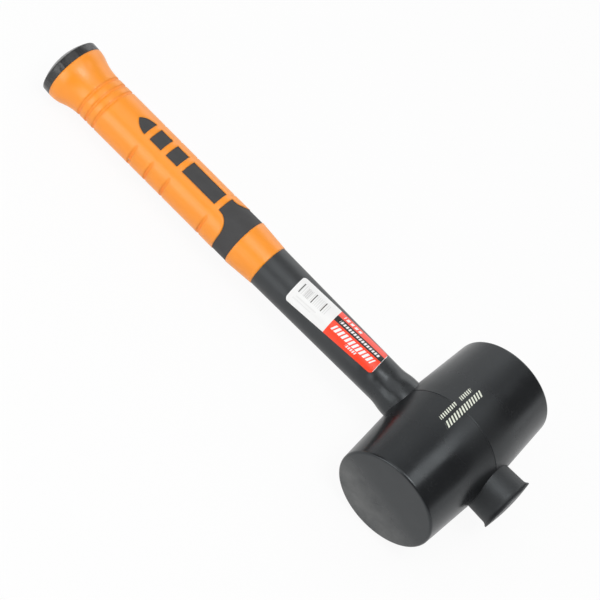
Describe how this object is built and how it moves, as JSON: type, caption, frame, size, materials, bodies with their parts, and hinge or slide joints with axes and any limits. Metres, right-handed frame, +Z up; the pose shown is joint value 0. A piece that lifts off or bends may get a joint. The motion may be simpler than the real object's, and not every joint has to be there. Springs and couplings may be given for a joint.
{
  "type": "rubber mallet",
  "caption": "Rubber mallet with a double-tapered barrel head on a straight moulded handle with a flared two-tone soft grip.",
  "frame": {"origin": "on the ground under the middle of the overall length, below the handle's axis", "axes": "+X along the handle from the butt to the head and foot, Y along the head from face to face, +Z up with the mallet lying on the side of its head"},
  "size_m": [0.4118, 0.1256, 0.0799],
  "materials": {
    "head_rubber": "satin black moulded rubber",
    "glass_fibre": "pultruded glass fibre rod, hidden inside",
    "black_plastic": "satin black moulded plastic",
    "orange_rubber": "matt orange soft grip rubber",
    "cap_plastic": "semi-gloss black plastic",
    "label_film": "plain printed vinyl sticker"
  },
  "bodies": {
    "root": {"rubber_head": "head_rubber", "fibreglass_core": "glass_fibre", "handle_jacket": "black_plastic", "grip_sleeve": "orange_rubber", "grip_collar": "orange_rubber", "butt_cap": "cap_plastic", "shaft_label": "label_film"}
  },
  "joints": []
}
